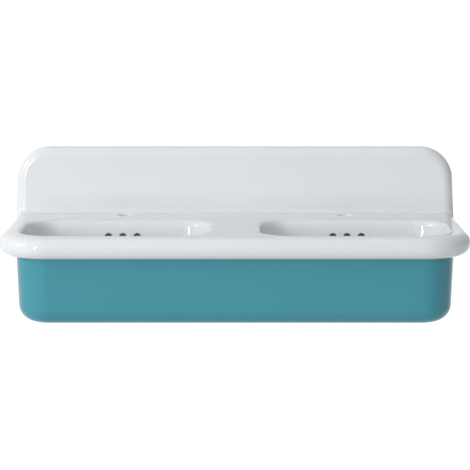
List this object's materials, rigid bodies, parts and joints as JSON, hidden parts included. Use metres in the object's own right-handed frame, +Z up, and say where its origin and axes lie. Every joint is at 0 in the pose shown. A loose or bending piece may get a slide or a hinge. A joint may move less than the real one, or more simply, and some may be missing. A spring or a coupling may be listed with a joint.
{
  "type": "double washbasin",
  "caption": "Wall-hung glazed ceramic double washbasin with a tall splashback, a rolled rim, a coloured apron, tap holes, overflow holes and push-plug wastes.",
  "frame": {"origin": "on the back plane, which meets the wall, midway between the axes of the two wall fixings", "axes": "+X along the wall, to the right as seen from the front; +Y into the wall; +Z up. The front of the basin faces -Y"},
  "size_m": [1.2, 0.4799, 0.411],
  "materials": {
    "white_glaze": "gloss white glaze",
    "teal_glaze": "gloss teal glaze",
    "channel_glaze": "thin white glaze",
    "bush_plastic": "moulded",
    "chrome": "polished plate",
    "seal_rubber": "moulded black",
    "washer_plastic": "moulded",
    "nut_brass": "turned",
    "stem_steel": "turned",
    "cartridge_plastic": "moulded",
    "spring_steel": "drawn wire"
  },
  "bodies": {
    "basin": {"basin": "white_glaze", "apron": "teal_glaze", "overflow_channel_left": "channel_glaze", "overflow_channel_right": "channel_glaze", "fixing_bushes": "bush_plastic", "waste_body_left": "chrome", "waste_body_right": "chrome", "flange_gasket_left": "seal_rubber", "flange_gasket_right": "seal_rubber", "waste_washer_left": "seal_rubber", "waste_washer_right": "seal_rubber", "slip_washer_left": "washer_plastic", "slip_washer_right": "washer_plastic", "backnut_left": "nut_brass", "backnut_right": "nut_brass", "latch_cartridge_left": "cartridge_plastic", "latch_cartridge_right": "cartridge_plastic", "latch_spring_left": "spring_steel", "latch_spring_right": "spring_steel"},
    "plug_left": {"plug_cap_left": "chrome", "plug_seal_left": "seal_rubber", "plug_stem_left": "stem_steel"},
    "plug_right": {"plug_cap_right": "chrome", "plug_seal_right": "seal_rubber", "plug_stem_right": "stem_steel"}
  },
  "joints": [
    {"name": "plug_left_slide", "type": "slide", "parent": "basin", "child": "plug_left", "axis": [0, 0, 1], "range_m": [-0.008, 0], "deforming": ["latch_spring_left"]},
    {"name": "plug_right_slide", "type": "slide", "parent": "basin", "child": "plug_right", "axis": [0, 0, 1], "range_m": [-0.008, 0], "deforming": ["latch_spring_right"]}
  ]
}
